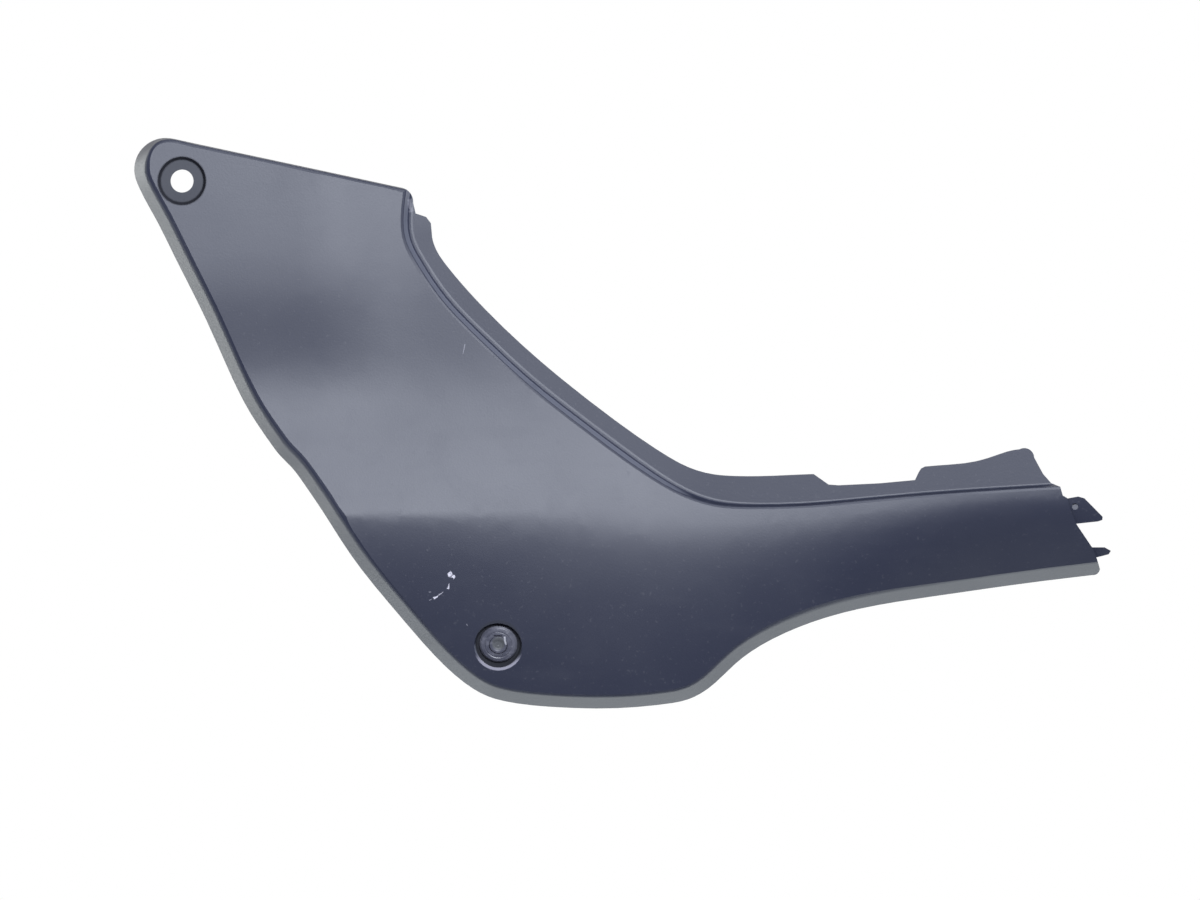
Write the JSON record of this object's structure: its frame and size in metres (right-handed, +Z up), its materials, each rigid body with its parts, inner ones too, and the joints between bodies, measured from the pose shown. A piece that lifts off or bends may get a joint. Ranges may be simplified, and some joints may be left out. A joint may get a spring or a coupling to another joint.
{
  "type": "motorcycle side cover",
  "caption": "Moulded plastic side cover with a stepped flange, rolled rim, two sunk screw seats, end tongues and a push rivet.",
  "frame": {"origin": "centre of the upper screw hole, on the seat face the screw's head rests on", "axes": "upright as fixed to the motorcycle: +X along the cover towards the tongues, +Z up, outer face towards -Y"},
  "size_m": [0.3912, 0.0354, 0.2287],
  "materials": {
    "cover_plastic": "finely grained dark grey moulded plastic, matte",
    "rivet_plastic": "black nylon, scuffed on the head"
  },
  "bodies": {
    "root": {"side_cover": "cover_plastic", "rivet_body": "rivet_plastic", "rivet_pin": "rivet_plastic"}
  },
  "joints": []
}
